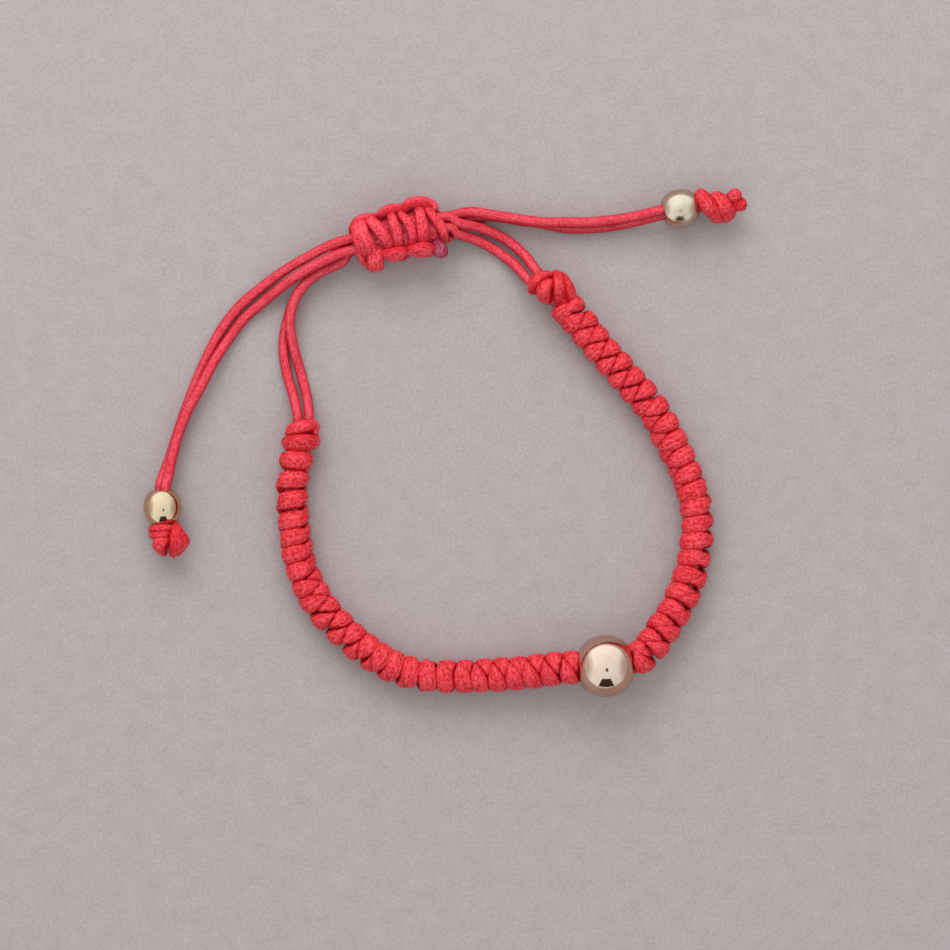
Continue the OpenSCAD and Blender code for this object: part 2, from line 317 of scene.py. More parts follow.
# %% [markdown]
# The cord is a fine round braid under a coat of wax. Its yarns cross in slanting stitches that
# lean one way and then the other in neighbouring columns, like a knitted plait, and the wax
# fills most of the pits between them, so only some show as short dashes, painted darker as
# shade. Modelled one by one the yarns would take millions of faces, so a node group draws them
# from the UV map, and the same braid can go on loose strands and tight knots. It gives a height
# for the bump, which also sets the painted shade in the pits, and two masks for the colour.
# Columns are counted once round the cord, and a stitch is so many millimetres long. Lean is how
# far a stitch slants across its column, and a column starts a shift after its neighbour, both as
# shares of a stitch. Slow noise lets both wander, as no real braid is even.

# %% Braid node group
COLUMN_WANDER, STITCH_WANDER = 0.12, 4.0
COLUMN_SHIFT = 0.37
STITCH_ROUNDNESS = 0.6

braid, given, result = group_tree(
    "cord braid",
    [("UV", "NodeSocketVector", None), ("Columns", "NodeSocketFloat", 12.0),
     ("Stitch", "NodeSocketFloat", 0.74), ("Lean", "NodeSocketFloat", 0.75)],
    ["Height", "Stitch Tone", "Streak"])
n = Nodes(braid)
cord_uv = given.outputs["UV"]
along, around, _ = n.split(cord_uv)
even = n.scaled(cord_uv, 1.0, 4.0)
wander = n.math("SUBTRACT", n.noise(even, 1.4, 3.0), 0.5)

column = n.math("MULTIPLY_ADD", wander, COLUMN_WANDER, around)
column = n.math("MULTIPLY", column, given.outputs["Columns"])
column_index = n.math("FLOOR", column)
in_column = n.math("FRACT", column)
side = n.math("MULTIPLY_ADD", n.math("MODULO", column_index, 2.0), 2.0, -1.0)

slant = n.math("MULTIPLY", n.math("MULTIPLY", side, in_column), given.outputs["Lean"])
shift = n.math("MULTIPLY_ADD", wander, STITCH_WANDER,
               n.math("MULTIPLY", column_index, COLUMN_SHIFT))
stitch = n.math("DIVIDE", along, given.outputs["Stitch"])
stitch = n.math("ADD", n.math("ADD", stitch, slant), shift)

crown, edge = (n.math("POWER", n.math("SINE", n.math("MULTIPLY", share, math.pi)), STITCH_ROUNDNESS)
               for share in (n.math("FRACT", stitch), in_column))
filled = n.span(n.noise(even, 3.1, 2.0), 0.42, 0.58, 0.2, 0.85)
pit = n.math("MULTIPLY", filled, n.math("SUBTRACT", 1.0, n.math("MULTIPLY", crown, edge)))
stitch_cell = n.add("ShaderNodeCombineXYZ")
n.put(n.math("FLOOR", stitch), stitch_cell.inputs[0])
n.put(column_index, stitch_cell.inputs[1])
tone = n.add("ShaderNodeTexWhiteNoise", noise_dimensions="2D")
n.put(stitch_cell.outputs[0], tone.inputs["Vector"])

n.put(n.math("SUBTRACT", 1.0, pit), result.inputs["Height"])
n.put(tone.outputs["Value"], result.inputs["Stitch Tone"])
n.put(n.noise(n.scaled(cord_uv, 1.3, 22.0), 1.0, 4.0, 0.65), result.inputs["Streak"])
print("braid group has", len(braid.nodes), "nodes")

# %% [markdown]
# On top of the braid comes the cord's own finish. Wax lies over the dyed yarns, so the crowns
# catch a pale pink shine while the pits between them stay matt. One even red would look like
# plastic, so the colour mixes a darker red, painted shade in the pits, and a lit red by the
# braid's height, with some yarns lighter than others, and the two sides of the cord get a
# darker red as painted shade. A slow noise on Object coordinates lets the dye vary along the
# bracelet.

# %% Cord finish
DYE_SCALE = 330.0
STREAK_BUMP = 0.00006


def srgb(red, green, blue):
    """A colour given as in a paint program, 0 to 255, as the linear colour that nodes use."""
    c = np.array([red, green, blue]) / 255
    linear = np.where(c <= 0.04045, c / 12.92, ((c + 0.055) / 1.055) ** 2.4)
    return (*linear, 1.0)


def cord_finish(name, lit, side_shade, pit_shade, braid_bump=0.00008, roughness=0.45):
    """Waxed braided cord in a lit colour and two darker colours of painted shade, one for the
    cord's sides and one for its pits, with its braid's bump in metres.

    The share of the lit colour is the braid's height, so the pits take the pit colour as painted
    shade, moved by each stitch's own tone, by the streaks along the cord and by a slow drift of
    the dye. On the cord's two sides the side colour, a painted shade, stands for the lit one, by
    how small |sin(2 pi V)| is. The wax is a coat that lies on the crowns of the outer face and is
    rubbed away in the pits, so only those crowns shine.
    """
    material, shader, n = new_material(name)
    place = n.add("ShaderNodeTexCoord")
    weave = n.add("ShaderNodeGroup", node_tree=braid)
    n.put(place.outputs["UV"], weave.inputs["UV"])
    height, stitch_tone, streak = weave.outputs[:3]
    dye = n.noise(place.outputs["Object"], DYE_SCALE, 3.0, 0.6)
    share = n.math("MULTIPLY_ADD", height, 0.9, n.math("MULTIPLY", stitch_tone, 0.2))
    share = n.math("MULTIPLY", share, n.span(dye, 0.3, 0.7, 0.85, 1.1))
    share = n.math("MULTIPLY", share, n.span(streak, 0.34, 0.62, 0.72, 1.1))
    round_cord = n.split(place.outputs["UV"])[1]
    face = n.math("ABSOLUTE", n.math("SINE", n.math("MULTIPLY", round_cord, 2 * math.pi)))
    face = n.span(face, 0.15, 0.8)
    # Painted shade: the pits take the pit colour by the braid's height, and the cord's two sides
    # take the side colour.
    n.put(n.mix(n.span(share, 0.1, 0.9), pit_shade, n.mix(face, side_shade, lit)), shader.inputs["Base Color"])
    n.put(n.span(share, 0.0, 1.0, roughness + 0.25, roughness), shader.inputs["Roughness"])
    n.put(n.math("MULTIPLY", face, n.span(share, 0.5, 1.05)), shader.inputs["Coat Weight"])
    shader.inputs["Coat Roughness"].default_value = 0.3
    shader.inputs["Specular IOR Level"].default_value = 0.2
    relief = n.math("MULTIPLY_ADD", height, braid_bump, n.math("MULTIPLY", streak, STREAK_BUMP))
    n.put(n.bump(relief), shader.inputs["Normal"])
    return material


# Each finish is given a lit red, then a painted shade for the cord's sides, then a painted shade
# for its pits.
coral_cord = cord_finish("coral_cord", srgb(216, 44, 57), srgb(188, 12, 24), srgb(158, 6, 14))
pink_cord = cord_finish("pink_cord", srgb(223, 56, 71), srgb(208, 40, 54), srgb(156, 8, 18))
strand_cord = cord_finish("strand_cord", srgb(212, 54, 72), srgb(180, 12, 26), srgb(164, 12, 26),
                          braid_bump=0.00004)
singed_cord = cord_finish("singed_cord", srgb(158, 48, 74), srgb(130, 24, 50), srgb(90, 14, 34),
                          braid_bump=0.00004, roughness=0.35)
print("cord finishes:", coral_cord.name, pink_cord.name, strand_cord.name, singed_cord.name)

# %% [markdown]
# Four bare strands leave the two start knots, cross inside the sliding knot and hang out on the
# other side in pairs, each pair through a small bead and into a knot. They are the free cords
# here. A bevelled curve would have their shape, but no map in millimetres for the braid, so
# they are tubes. Each route repeats the construction's own points in millimetres. One more
# point at each end, on a line by itself, lets the strand run into its knot, as a real one does.

# %% Bare strands
CORD_D = 1.3
CORD_SIDES = 16
STRAND_STEPS = 6

STRANDS = {
    "strand_left_a": [
        (-25.0, 2.3, 2.3),
        (-25.2, 4.0, 2.2), (-25.8, 6.6, 1.2), (-26.7, 9.6, 0.7), (-27.1, 13.0, 0.7),
        (-26.6, 16.2, 0.7), (-25.4, 19.4, 0.7), (-23.2, 22.3, 0.8), (-20.4, 24.8, 1.6),
        (-18.3, 26.6, 2.1), (-12.4, 28.0, 2.1), (-6.4, 29.4, 2.1), (-3.1, 30.1, 2.2),
        (0.0, 29.7, 2.1), (3.1, 29.2, 2.1), (6.2, 28.8, 2.1), (9.3, 28.8, 2.0), (12.3, 28.8, 2.0),
        (15.4, 29.1, 2.1), (18.5, 29.6, 2.5), (21.4, 30.3, 3.1), (26.1, 31.3, 3.1),
        (27.6, 31.4, 2.9)],
    "strand_left_b": [
        (-23.8, 2.2, 2.3),
        (-23.7, 3.7, 2.3), (-24.1, 6.6, 1.2), (-24.9, 9.6, 0.7), (-25.8, 13.0, 1.3),
        (-26.2, 16.2, 2.1), (-25.3, 19.4, 2.2), (-22.9, 22.0, 2.2), (-19.6, 23.6, 2.3),
        (-18.0, 25.2, 2.1), (-12.1, 26.6, 2.1), (-6.1, 28.0, 2.1), (-4.7, 28.4, 1.4),
        (-3.2, 29.3, 0.8), (0.0, 29.6, 0.7), (3.1, 29.1, 0.7), (6.2, 28.7, 0.7), (9.3, 28.1, 0.7),
        (12.3, 28.1, 0.7), (15.4, 28.4, 0.8), (18.5, 29.0, 1.2), (21.6, 29.7, 1.8),
        (26.3, 30.7, 1.8),
        (27.7, 31.0, 2.2)],
    "strand_right_a": [
        (6.5, 21.3, 2.6),
        (5.3, 22.7, 2.4), (3.9, 24.6, 1.4), (1.6, 26.6, 0.8), (-1.5, 28.0, 1.6),
        (-4.5, 28.6, 3.2), (-6.4, 29.4, 3.5), (-12.4, 28.0, 3.5), (-18.3, 26.6, 3.5),
        (-20.8, 25.8, 3.6), (-23.8, 24.3, 3.0), (-26.9, 22.6, 1.6), (-30.0, 20.4, 0.8),
        (-32.8, 18.0, 0.7), (-35.1, 15.0, 0.7), (-36.8, 11.8, 0.7), (-38.3, 8.4, 0.7),
        (-39.6, 5.0, 0.7), (-40.7, 1.8, 0.7), (-41.7, -1.4, 0.8), (-42.6, -4.0, 1.4),
        (-42.9, -5.4, 1.9), (-42.9, -10.1, 1.9),
        (-42.5, -11.5, 2.1)],
    "strand_right_b": [
        (5.5, 20.3, 2.6),
        (4.2, 21.6, 2.2), (2.7, 23.3, 1.3), (0.3, 25.2, 0.7), (-2.4, 26.6, 1.3),
        (-4.6, 27.2, 2.8), (-6.1, 28.0, 3.5), (-12.1, 26.6, 3.5), (-18.0, 25.2, 3.5),
        (-20.6, 24.3, 3.7), (-23.8, 22.7, 3.3), (-26.7, 20.9, 2.1), (-29.8, 18.5, 0.9),
        (-32.2, 16.4, 0.8), (-34.0, 14.0, 0.9), (-35.8, 11.2, 1.7), (-37.5, 7.9, 2.0),
        (-39.3, 4.6, 2.1), (-40.5, 1.6, 2.1), (-41.3, -1.4, 2.1), (-41.8, -4.0, 2.6),
        (-42.1, -5.4, 3.1), (-42.1, -10.1, 3.1),
        (-41.8, -11.5, 2.6)],
}

strand_lines = {}
strands = {}
for name, route in STRANDS.items():
    line = smooth_line(route, STRAND_STEPS)
    strand_lines[name] = line
    up = level_frame(line)[2]
    body = tube(line, up, CORD_D / 2, CORD_D / 2, sides=CORD_SIDES)
    strands[name] = cord_piece(name + "_cord", [body], strand_cord)
    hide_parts(name)
    print(name, "is", round(travelled(line)[-1], 1), "mm long")

# %% [markdown]
# A snake knot is two loops that lock each other. Seen along the run, each strand goes two
# thirds of the way round the outside, from a tucked-in start to a tucked-in end, then slips up
# the middle to the next knot. The second strand does the same on the other side, a part of a
# knot before it or behind it. Where one strand is at its widest it hides the other, and looks
# like a flat coin. A quarter turn away both show as drops, and their tips interleave as
# chevrons with dark notches between them. The whole pattern turns a little from knot to knot,
# which is why coins change to chevrons and back along the bracelet. One knot could be modelled
# and repeated, but all would be alike, so each strand is one long tube whose rows a rule makes
# and a little jitter moves.

# %% Snake knots
RUN_R = 2.35
FAT_AT, FAT_WIDE, FAT_THICK = 135.0, 0.515, 0.74
SWEEP_BACK, SWEEP_ON = 120.0, 124.0
SINK_OVER, SINK_DEPTH = 24.0, 0.85
COIL_INSET = 0.14
LEAN_OVER = 110.0
RISER_R, RISER_WIDE, RISER_THICK = 0.5, 0.16, 0.45
COIL_ROWS, RISER_ROWS = 19, 3


def coil_rows(jitter, lean, ahead):
    """Control rows of one strand, with the columns angle, knots along, radius, half the width
    as a share of a knot, and half the thickness.

    The angle sweeps round from before the fat place to after it, while the place along moves
    by the knot's own lean for every 110 degrees, from half a knot plus how far this strand is
    ahead. Half the width is 0.515 at the fat place and narrows to 0.125 at the tips, which makes
    a drop. The last 24 degrees of each tip sink into the run, the later tip lies over its
    neighbours, and a short riser through the middle leads to the next knot. Each
    rise((far - a) / b) starts a degrees from the fat place and is complete b degrees further on.
    Jitter's rows are for the angle in degrees, the radius in millimetres, the width and the place.
    """
    knot = np.arange(len(lean))[:, None]
    turn = np.linspace(-SWEEP_BACK, SWEEP_ON, COIL_ROWS)[None, :]
    back, on, far = np.clip(-turn, 0, None), np.clip(turn, 0, None), np.abs(turn)
    wobble = jitter[:, :, None]
    angle = FAT_AT + turn + 360 * knot + wobble[0]
    middle = knot + 0.5 + ahead[:, None]
    along = middle + lean[:, None] * turn / LEAN_OVER + wobble[3]
    thick = FAT_THICK - 0.22 * rise((far - 50) / 70)
    outer = (RUN_R - COIL_INSET + wobble[1] - 0.3 * rise((back - 20) / 80)
             - 0.08 * rise((on - 30) / 80))
    sink = (rise((back - SWEEP_BACK + SINK_OVER) / SINK_OVER)
            + rise((on - SWEEP_ON + SINK_OVER) / SINK_OVER))
    radius = outer - thick - SINK_DEPTH * sink
    wide = FAT_WIDE + wobble[2] - 0.08 * rise((far - 30) / 35) - 0.31 * rise((far - 59) / 54)
    coil = np.stack(np.broadcast_arrays(angle, along, radius, wide, thick), -1)
    v = (np.arange(RISER_ROWS) + 1)[None, :] / (RISER_ROWS + 1)
    last, gap = FAT_AT + SWEEP_ON, 360 - SWEEP_ON - SWEEP_BACK
    leaves = middle + lean[:, None] * SWEEP_ON / LEAN_OVER
    climb = 1 - lean[:, None] * (SWEEP_ON + SWEEP_BACK) / LEAN_OVER
    riser = np.stack(np.broadcast_arrays(last + gap * v + 360 * knot, leaves + climb * v,
                                         RISER_R, RISER_WIDE, RISER_THICK), -1)
    return np.concatenate([coil, riser], axis=1).reshape(-1, 5)[:-RISER_ROWS]


# %% A run of snake knots
ROUTE_STEPS, COIL_STEPS = 8, 3
CORE_R, CORE_INSET = 0.95, 0.9
WOBBLE = np.array([6.0, 0.06, 0.02, 0.04])[:, None]


def snake_run(name, route, table, seed):
    """Both strands of a run of snake knots round a route of x, y and lift.

    The table's rows are knots along, millimetres along, the pattern's turn in degrees, the
    lobes' lean and how far one strand is ahead of the other, in knots. A smooth curve through
    them gives these for every control row. Its angle is turned back by the pattern's turn, and
    its point is the middle line's point there, plus the radius times cos(angle) of the upper
    side and sin(angle) of the left-hand side. In the first and last knots the strands are less
    far apart, and a row past the middle line's end goes straight on.
    """
    middle = smooth_line([(x, y, RUN_R + lift) for x, y, lift in route], ROUTE_STEPS)
    marks = travelled(middle)
    places = smooth_line(table, ROUTE_STEPS)
    knots = table[-1][0]
    pitch = table[-1][1] / knots
    _, left, up = level_frame(middle)
    random = np.random.default_rng(seed)
    inner = (marks > CORE_INSET) & (marks < marks[-1] - CORE_INSET / 3)
    tubes = [tube(middle[inner], up[inner], CORE_R, CORE_R)]
    knot_middles = np.arange(knots) + 0.5
    lean, split = read_at(knot_middles, places[:, 0], places[:, 3:]).T
    ends = rise(knot_middles) * rise(knots - knot_middles)
    for half, ahead in ((0.0, split / 2), (180.0, -split / 2)):
        jitter = random.uniform(-1, 1, (4, knots)) * WOBBLE
        rows = smooth_line(coil_rows(jitter, lean, ahead * ends), COIL_STEPS)
        s, pattern = read_at(rows[:, 1], places[:, 0], places[:, 1:3]).T
        angle = np.radians(rows[:, 0] + half - pattern)
        at = np.clip(s, 0, marks[-1])
        centre, sideways, upward = (read_at(at, marks, field) for field in (middle, left, up))
        centre = centre + (s - at)[:, None] * np.cross(sideways, upward)
        outward = np.cos(angle)[:, None] * upward + np.sin(angle)[:, None] * sideways
        line = centre + rows[:, 2:3] * outward
        tubes.append(tube(line, outward, rows[:, 3] * pitch, rows[:, 4], LOBE_SQUARENESS))
    piece = cord_piece(name + "_cords", tubes, coral_cord)
    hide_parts(name)
    print(name, "has", knots, "knots", round(pitch, 2), "mm apart")


# %% [markdown]
# The routes of the two runs are the construction's, apart from the points at their ends, which
# go on a little, into the start knots and towards the bead. Each table says how the pattern
# turns and leans at some of the knots. A photo shows that best, so its rows were set one by one.

# %% Both runs
LEFT_RUN = [
    (-25.2, -0.9, 0.0), (-25.9, -5.0, 0.0), (-25.7, -9.5, 0.0), (-25.1, -14.0, 0.0),
    (-23.7, -18.0, 0.0), (-21.4, -21.5, 0.0), (-18.2, -24.7, 0.0), (-14.8, -27.2, 0.0),
    (-10.7, -29.0, 0.0), (-6.3, -29.5, 0.0), (-1.8, -29.4, 0.0), (2.6, -29.1, 0.2),
    (6.8, -28.6, 0.9), (9.4, -28.3, 1.4), (10.95, -28.2, 1.5)]
RIGHT_RUN = [
    (17.5, -27.1, 1.5), (18.7, -26.85, 1.4), (20.0, -25.7, 1.1), (21.5, -23.6, 0.6),
    (23.3, -20.8, 0.2), (24.9, -17.2, 0.0), (25.9, -12.6, 0.0), (25.9, -8.0, 0.0),
    (24.7, -3.6, 0.0), (22.7, 0.6, 0.0), (20.5, 4.6, 0.0), (17.4, 8.3, 0.0), (14.3, 11.8, 0.0),
    (11.6, 15.1, 0.0), (10.6, 16.4, 0.1), (8.6, 18.6, 0.2)]
LEFT_TABLE = [
    (0, -0.4, 118, -0.15, -0.4), (3, 8.0, 146, -0.15, -0.5), (6, 14.6, 174, -0.05, -0.55),
    (9, 21.4, 215, 0.25, -0.82), (12, 28.9, 262, -0.05, -0.4), (15, 35.9, 316, -0.2, -0.05),
    (18, 43.0, 366, -0.24, 0.15), (21, 49.8, 384, -0.24, 0.2), (24, 56.8, 394, -0.22, 0.2)]
RIGHT_TABLE = [
    (0, 0.0, 36, -0.3, -0.05), (3, 7.3, 52, -0.33, -0.08), (6, 14.8, 84, -0.28, -0.15),
    (9, 21.8, 128, -0.16, -0.35), (12, 28.5, 168, -0.1, -0.42), (15, 35.6, 205, 0.0, -0.48),
    (17, 40.4, 218, 0.02, -0.5), (20, 47.5, 231, 0.02, -0.5), (23, 54.2, 240, 0.02, -0.45)]

snake_run("braid_left", LEFT_RUN, LEFT_TABLE, seed=3)
snake_run("braid_right", RIGHT_RUN, RIGHT_TABLE, seed=5)

# %% [markdown]
# The main bead is turned and polished. A ball from the menu would have no flat faces and no
# hole, so its outline is made first, from a barrel arc, two faces and the wall of the hole. The
# corners between them are slightly rounded, because a sharp edge would catch no light.
# Averaging the outline along its own length rounds them all at once, and spinning the closed
# outline gives a surface with no pole. The two end beads are smaller ones of the same kind, one
# with a satin look and one a yellower gold.

# %% Beads
ARC_POINTS, BEAD_ROWS, BEAD_SPINS = 60, 200, 128


def bead_piece(name, at, turn, size, length, face, hole, material, slot, rim=0.28):
    """A bead round a hole that lies level, turned by turn degrees from the X axis.

    The outline is resampled evenly, and each point becomes the mean of its neighbours within
    half the rim. A point at (x, r) goes to x along the hole and r * (cos, sin) round it. The
    barrel arc's radius is (half the length squared + sag squared) / (2 * sag).
    """
    sag = (size - face) / 2
    arc_r = ((length / 2) ** 2 + sag ** 2) / (2 * sag)
    reach = math.asin(length / 2 / arc_r)
    a = np.linspace(-reach, reach, ARC_POINTS)
    crown = np.stack([arc_r * np.sin(a), size / 2 - arc_r * (1 - np.cos(a))], -1)
    corners = np.concatenate([[(-length / 2, hole / 2)], crown, [(length / 2, hole / 2)]])
    loop = np.concatenate([corners, corners[:1]])
    marks = travelled(loop)
    rows, spins = BEAD_ROWS, BEAD_SPINS
    outline = read_at(np.arange(rows) * marks[-1] / rows, marks, loop)
    window = max(1, round(rim / 2 * rows / marks[-1]))
    shifts = range(-window, window + 1)
    outline = np.mean([np.roll(outline, shift, axis=0) for shift in shifts], axis=0)
    spin = 2 * np.pi * np.arange(spins) / spins
    x = np.broadcast_to(outline[:, None, 0], (rows, spins))
    y = outline[:, None, 1] * np.cos(spin)
    z = outline[:, None, 1] * np.sin(spin)
    t = math.radians(turn)
    points = np.stack([at[0] + x * math.cos(t) - y * math.sin(t),
                       at[1] + x * math.sin(t) + y * math.cos(t), at[2] + z], -1)
    i, j = np.meshgrid(np.arange(rows), np.arange(spins), indexing="ij")
    i1, j1 = (i + 1) % rows, (j + 1) % spins
    quads = np.stack([i * spins + j, i * spins + j1, i1 * spins + j1, i1 * spins + j], -1)
    quads = quads.reshape(-1, 4)
    mesh = bpy.data.meshes.new(name)
    mesh.from_pydata((points.reshape(-1, 3) * MM).tolist(), [], quads.tolist())
    mesh.shade_smooth()
    mesh.materials.append(material)
    piece = put_in_scene(name + "_turned", mesh)
    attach(piece, "root")
    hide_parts(name)
    print(name, "has", len(quads), "faces")
    return piece


# %% Plated metal
PATCH_SCALE, GRAIN_SCALE = 420.0, 5200.0


def metal_finish(name, tint, shade, roughness, grain):
    """Plated metal in a tint, with a darker shade where it is worn, and a grain in metres."""
    material, shader, n = new_material(name)
    place = n.add("ShaderNodeTexCoord").outputs["Object"]
    patches = n.noise(place, PATCH_SCALE, 4.0, 0.6)
    fine = n.noise(place, GRAIN_SCALE, 2.0, 0.6)
    n.put(n.mix(n.span(patches, 0.42, 0.75), tint, shade), shader.inputs["Base Color"])
    shader.inputs["Metallic"].default_value = 1.0
    n.put(n.span(patches, 0.3, 0.8, roughness, roughness * 2.2), shader.inputs["Roughness"])
    n.put(n.bump(n.math("MULTIPLY", fine, grain)), shader.inputs["Normal"])
    return material


polished = metal_finish("polished_champagne", srgb(214, 170, 148), srgb(202, 156, 132),
                        roughness=0.05, grain=0.0000003)
pale_gold = metal_finish("pale_gold", srgb(207, 167, 134), srgb(192, 150, 112),
                         roughness=0.06, grain=0.0000003)
satin = metal_finish("satin_champagne", srgb(204, 173, 149), srgb(188, 154, 124),
                     roughness=0.13, grain=0.0000008)
bead_piece("main_bead", (14.25, -28.05, 4.0), turn=3, size=8, length=6.8, face=4.2, hole=3.0,
           material=polished, slot="polished_bead")
END_BEAD = {"size": 5, "length": 4.3, "face": 3.1, "hole": 2.9, "rim": 0.2,
            "slot": "end_bead_metal"}
end_bead_right = bead_piece("end_bead_right", (23.85, 30.5, 2.5), turn=12, material=satin,
                            **END_BEAD)
end_bead_left = bead_piece("end_bead_left", (-42.5, -7.8, 2.5), turn=-90, material=pale_gold,
                           **END_BEAD)

# %% [markdown]
# Two strands run through the main bead from one run to the other. Little of them shows, just a
# dark bit in the gap at each side, but without them the bead would seem to float.

# %% Thread through the bead
# Columns: x, y, how far each strand lies to its side of y, and z.
THREAD = [(9.6, -28.3, 0.5, 3.85), (10.9, -28.2, 0.68, 3.95), (14.25, -28.05, 0.7, 4.0),
          (17.5, -27.8, 0.68, 3.95), (18.4, -27.3, 0.6, 3.85), (19.2, -26.8, 0.45, 3.7)]
thread_tubes = []
for side in (-1, 1):
    line = smooth_line([(x, y + apart * side, z) for x, y, apart, z in THREAD], STRAND_STEPS)
    up = level_frame(line)[2]
    thread_tubes.append(tube(line, up, CORD_D / 2, CORD_D / 2, sides=CORD_SIDES))
bead_thread = cord_piece("bead_thread_cords", thread_tubes, coral_cord)
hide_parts("bead_thread")

# %% [markdown]
# The sliding knot is three square knots. A working cord at each side crosses the four strands
# in turn, in front and behind, and that leaves slanting bars across the front and back and a
# row of fat loops down each side. A table of bends could be made by a rule, but no two bends of
# the real knot are alike, so each gets its own few points. The face below is the same with its
# heights turned over and moved on a little, because there the cords cross the other way. A plain
# tube through the middle stands for the cords that are pulled in where nobody sees them. One
# end of the working cord is cut off at the knot and melted, and is a darker, smoother lump.

# %% Sliding knot
SLIDE_AT, SLIDE_TURN = np.array([-12.2, 27.3, 2.8]), math.radians(13)
SLIDE_RUN = np.array([math.cos(SLIDE_TURN), math.sin(SLIDE_TURN), 0.0])
SLIDE_STEPS = 6
UNDER_LIFT, UNDER_SHIFT = 0.12, 0.7


def slide_lobe(rows, under=False, start_u=0.0):
    """A tube through rows of x, y, z, half width and half thickness, round the knot's own run.

    Outward is the way from the knot's middle line: the point minus most of its part along the
    run. Under turns z into twice the middle's z minus z, lifted a little to clear the floor, and
    moves the rows on along the run.
    """
    rows = np.array(rows, float)
    if under:
        rows[:, 2] = 2 * SLIDE_AT[2] + UNDER_LIFT - rows[:, 2]
        rows[:, :3] += UNDER_SHIFT * SLIDE_RUN
    line = smooth_line(rows, SLIDE_STEPS)
    local = line[:, :3] - SLIDE_AT
    outward = local - (local @ SLIDE_RUN)[:, None] * SLIDE_RUN * 0.9
    return tube(line[:, :3], outward, line[:, 3], line[:, 4], LOBE_SQUARENESS, start_u=start_u)


# %% Bars, side loops and knob
BARS = [
    [(-16.1, 29.3, 3.2, 0.5, 0.45), (-15.9, 28.9, 4.2, 0.7, 0.55), (-15.2, 28.2, 4.85, 0.82, 0.62),
     (-14.4, 27.3, 5.0, 0.86, 0.64), (-13.75, 26.4, 4.8, 0.8, 0.6), (-13.4, 25.6, 4.0, 0.66, 0.52),
     (-13.3, 25.2, 3.0, 0.5, 0.45)],
    [(-13.2, 30.0, 3.2, 0.4, 0.4), (-13.1, 29.4, 4.2, 0.58, 0.5), (-12.85, 28.6, 4.9, 0.68, 0.58),
     (-12.45, 27.5, 5.1, 0.72, 0.6), (-12.25, 26.5, 4.8, 0.68, 0.57), (-12.3, 25.7, 4.0, 0.56, 0.5),
     (-12.4, 25.2, 3.0, 0.4, 0.4)],
    [(-12.1, 30.1, 3.2, 0.4, 0.4), (-11.85, 29.5, 4.2, 0.54, 0.5),
     (-11.15, 28.8, 4.9, 0.64, 0.57), (-10.6, 27.8, 5.05, 0.64, 0.58),
     (-10.35, 26.8, 4.85, 0.6, 0.55), (-10.4, 26.0, 4.1, 0.54, 0.5), (-10.5, 25.5, 3.2, 0.4, 0.4)],
    [(-9.7, 30.7, 3.3, 0.4, 0.4), (-9.55, 30.1, 4.3, 0.6, 0.5), (-9.35, 29.1, 4.95, 0.74, 0.58),
     (-9.1, 27.9, 5.1, 0.82, 0.6), (-9.05, 26.9, 4.9, 0.76, 0.58), (-9.15, 26.1, 4.1, 0.62, 0.5),
     (-9.2, 25.6, 3.2, 0.5, 0.4)],
    [(-8.7, 30.6, 3.3, 0.4, 0.4), (-8.35, 30.0, 4.2, 0.54, 0.5), (-7.55, 29.1, 4.75, 0.62, 0.55),
     (-6.85, 28.2, 4.9, 0.64, 0.56), (-6.45, 27.3, 4.6, 0.6, 0.54), (-6.35, 26.7, 3.9, 0.52, 0.48),
     (-6.4, 26.4, 3.0, 0.4, 0.4)],
    [(-17.3, 29.0, 3.2, 0.6, 0.45), (-17.3, 28.6, 4.2, 0.9, 0.55),
     (-17.2, 27.8, 4.85, 1.12, 0.62), (-16.95, 26.8, 5.0, 1.24, 0.66),
     (-16.55, 25.9, 4.85, 1.36, 0.66), (-16.15, 25.1, 4.2, 1.36, 0.6),
     (-16.0, 24.7, 3.3, 0.9, 0.5)]]
LOOPS = [
    [(-18.1, 27.4, 2.9, 0.45, 0.5), (-18.05, 28.1, 3.5, 0.55, 0.55), (-17.4, 28.8, 3.9, 0.6, 0.6),
     (-16.6, 29.2, 4.0, 0.62, 0.62), (-15.8, 29.2, 3.7, 0.6, 0.6), (-15.2, 28.9, 3.0, 0.5, 0.5)],
    [(-15.0, 29.1, 3.0, 0.45, 0.45), (-14.5, 29.7, 3.7, 0.58, 0.55), (-13.7, 30.2, 4.0, 0.66, 0.64),
     (-12.8, 30.4, 3.9, 0.68, 0.66), (-12.1, 30.2, 3.4, 0.6, 0.6), (-11.7, 29.7, 2.8, 0.45, 0.45)],
    [(-11.6, 30.0, 3.2, 0.45, 0.5), (-11.3, 30.7, 3.8, 0.62, 0.62), (-10.6, 31.15, 4.1, 0.72, 0.7),
     (-9.7, 31.25, 4.1, 0.74, 0.72), (-8.9, 31.0, 3.7, 0.7, 0.68), (-8.4, 30.5, 3.1, 0.6, 0.6),
     (-8.3, 29.9, 2.6, 0.45, 0.45)],
    [(-14.2, 25.2, 3.2, 0.5, 0.5), (-13.9, 24.7, 3.8, 0.85, 0.6), (-13.2, 24.45, 4.1, 1.1, 0.72),
     (-12.4, 24.6, 4.2, 1.16, 0.76), (-11.75, 24.85, 4.0, 0.9, 0.66),
     (-11.4, 25.1, 3.4, 0.55, 0.45)],
    [(-10.95, 25.3, 3.2, 0.45, 0.45), (-10.65, 25.05, 3.9, 0.85, 0.62),
     (-9.9, 25.0, 4.3, 1.28, 0.76), (-9.1, 25.1, 4.4, 1.34, 0.78), (-8.5, 25.1, 4.1, 1.15, 0.72),
     (-8.2, 25.2, 3.4, 0.8, 0.5)]]
